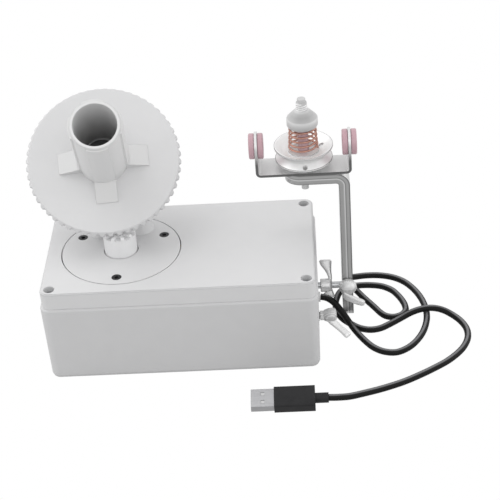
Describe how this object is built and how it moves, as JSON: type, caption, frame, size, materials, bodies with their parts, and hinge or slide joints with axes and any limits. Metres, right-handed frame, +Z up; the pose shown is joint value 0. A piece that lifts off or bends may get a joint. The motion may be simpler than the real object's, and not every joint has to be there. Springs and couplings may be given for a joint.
{
  "type": "electric yarn ball winder",
  "caption": "Powered yarn ball winder: box casing with a turntable, a tilted toothed spool that rolls on a fixed centre gear, a side yarn guide with tension discs, and a USB cord.",
  "frame": {"origin": "centre of the casing's flat underside, on the table", "axes": "+X right along the casing's length, towards the yarn guide; +Y to the back; +Z up"},
  "size_m": [0.2538, 0.1431, 0.1626],
  "materials": {
    "casing_white": "satin",
    "spool_white": "satin",
    "gear_plastic": "matte",
    "black_plastic": "satin",
    "black_screws": "satin",
    "steel": "satin",
    "bright_steel": "polished",
    "bracket_metal": "satin",
    "brass": "satin",
    "bush_plastic": "matte",
    "board_green": "satin",
    "capacitor_blue": "satin",
    "eyelet_pink": "glossy",
    "spring_copper": "satin",
    "disc_metal": "polished",
    "cord_black": "satin",
    "tongue_plastic": "matte"
  },
  "bodies": {
    "casing": {"casing_base": "casing_white", "casing_lid": "casing_white", "lid_screws": "steel", "centre_post": "bracket_metal", "post_screws": "steel", "sun_gear": "spool_white", "motor_can": "steel", "motor_gearbox": "bracket_metal", "motor_bracket": "steel", "motor_screws": "steel", "bracket_screws": "steel", "circuit_board": "board_green", "board_screws": "steel", "board_capacitor": "capacitor_blue", "switch_frame": "black_plastic", "wall_inserts": "steel", "cord_grommet": "spool_white", "cord_clamp": "tongue_plastic", "usb_cord": "cord_black", "plug_body": "cord_black", "plug_shell": "bright_steel", "plug_tongue": "tongue_plastic"},
    "turntable": {"turntable": "spool_white", "turntable_screws": "black_screws", "drive_gear": "gear_plastic", "bearing_lower": "steel", "bearing_upper": "steel", "spindle": "steel", "spindle_washer": "steel", "spindle_screw": "steel"},
    "spool": {"spool_disc": "spool_white", "spool_core": "spool_white", "core_screws": "steel", "spindle_bush": "bush_plastic"},
    "pinion": {"motor_pinion": "brass", "motor_shaft": "steel"},
    "rocker": {"switch_rocker": "black_plastic"},
    "guide_clamp": {"slide_block": "bracket_metal", "guide_stud": "steel", "stud_lock_nut": "steel"},
    "lever_nut": {"lever_nut": "bright_steel"},
    "lever_screw_bar": {"lever_screw_bar": "bright_steel"},
    "lever_screw_wall": {"lever_screw_wall": "bright_steel"},
    "guide": {"guide_bar": "bracket_metal", "guide_plate": "bracket_metal", "eyelet_left": "eyelet_pink", "eyelet_right": "eyelet_pink", "tension_stud": "bright_steel", "disc_spacer": "bright_steel", "tension_spring": "spring_copper"},
    "lower_disc": {"lower_disc": "disc_metal"},
    "pressure": {"pressure_washer": "steel"},
    "upper_disc": {"upper_disc": "disc_metal"},
    "knob": {"tension_knob": "bright_steel"}
  },
  "joints": [
    {"name": "turntable_spin", "type": "hinge", "parent": "casing", "child": "turntable", "pos_m": [-0.0345, -0.0015, 0.06], "axis": [0, 0, 1], "continuous": true},
    {"name": "spool_spin", "type": "hinge", "parent": "turntable", "child": "spool", "pos_m": [-0.0419, 0.0246, 0.104], "axis": [0.0739, -0.6585, 0.749], "continuous": true},
    {"name": "pinion_spin", "type": "hinge", "parent": "casing", "child": "pinion", "pos_m": [0.0055, -0.0015, 0.053], "axis": [0, 0, 1], "continuous": true},
    {"name": "rocker_tilt", "type": "hinge", "parent": "casing", "child": "rocker", "pos_m": [0.038, 0.043, 0.026], "axis": [1, 0, 0], "range_deg": [0, 16]},
    {"name": "guide_swing", "type": "hinge", "parent": "casing", "child": "guide_clamp", "pos_m": [0.079, 0.0105, 0.019], "axis": [1, 0, 0], "range_deg": [-30, 20]},
    {"name": "guide_height", "type": "slide", "parent": "guide_clamp", "child": "guide", "axis": [0, 0, 1], "range_m": [0, 0.008]},
    {"name": "lever_nut_turn", "type": "hinge", "parent": "guide_clamp", "child": "lever_nut", "pos_m": [0.084, 0.0105, 0.019], "axis": [1, 0, 0], "range_deg": [-150, 60]},
    {"name": "bar_lever_turn", "type": "hinge", "parent": "guide", "child": "lever_screw_bar", "pos_m": [0.0966, -0.003, 0.0252], "axis": [0, -1, 0], "range_deg": [-25, 180]},
    {"name": "wall_lever_turn", "type": "hinge", "parent": "casing", "child": "lever_screw_wall", "pos_m": [0.085, -0.0195, 0.019], "axis": [1, 0, 0], "range_deg": [-180, 45]},
    {"name": "lower_disc_spin", "type": "hinge", "parent": "guide", "child": "lower_disc", "pos_m": [0.0743, 0.0105, 0.113], "axis": [0, 0, 1], "continuous": true},
    {"name": "disc_lift", "type": "slide", "parent": "guide", "child": "pressure", "axis": [0, 0, 1], "range_m": [0, 0.002], "stiffness_N_per_m": 500, "springref_m": -0.003, "deforming": ["tension_spring"]},
    {"name": "upper_disc_spin", "type": "hinge", "parent": "pressure", "child": "upper_disc", "pos_m": [0.0743, 0.0105, 0.114], "axis": [0, 0, 1], "continuous": true},
    {"name": "knob_turn", "type": "hinge", "parent": "guide", "child": "knob", "pos_m": [0.0743, 0.0105, 0.134], "axis": [0, 0, 1], "range_deg": [-360, 360]}
  ],
  "couplings": [
    {"joint": "spool_spin", "follows": "turntable_spin", "ratio": -0.17857},
    {"joint": "pinion_spin", "follows": "turntable_spin", "ratio": -4}
  ]
}
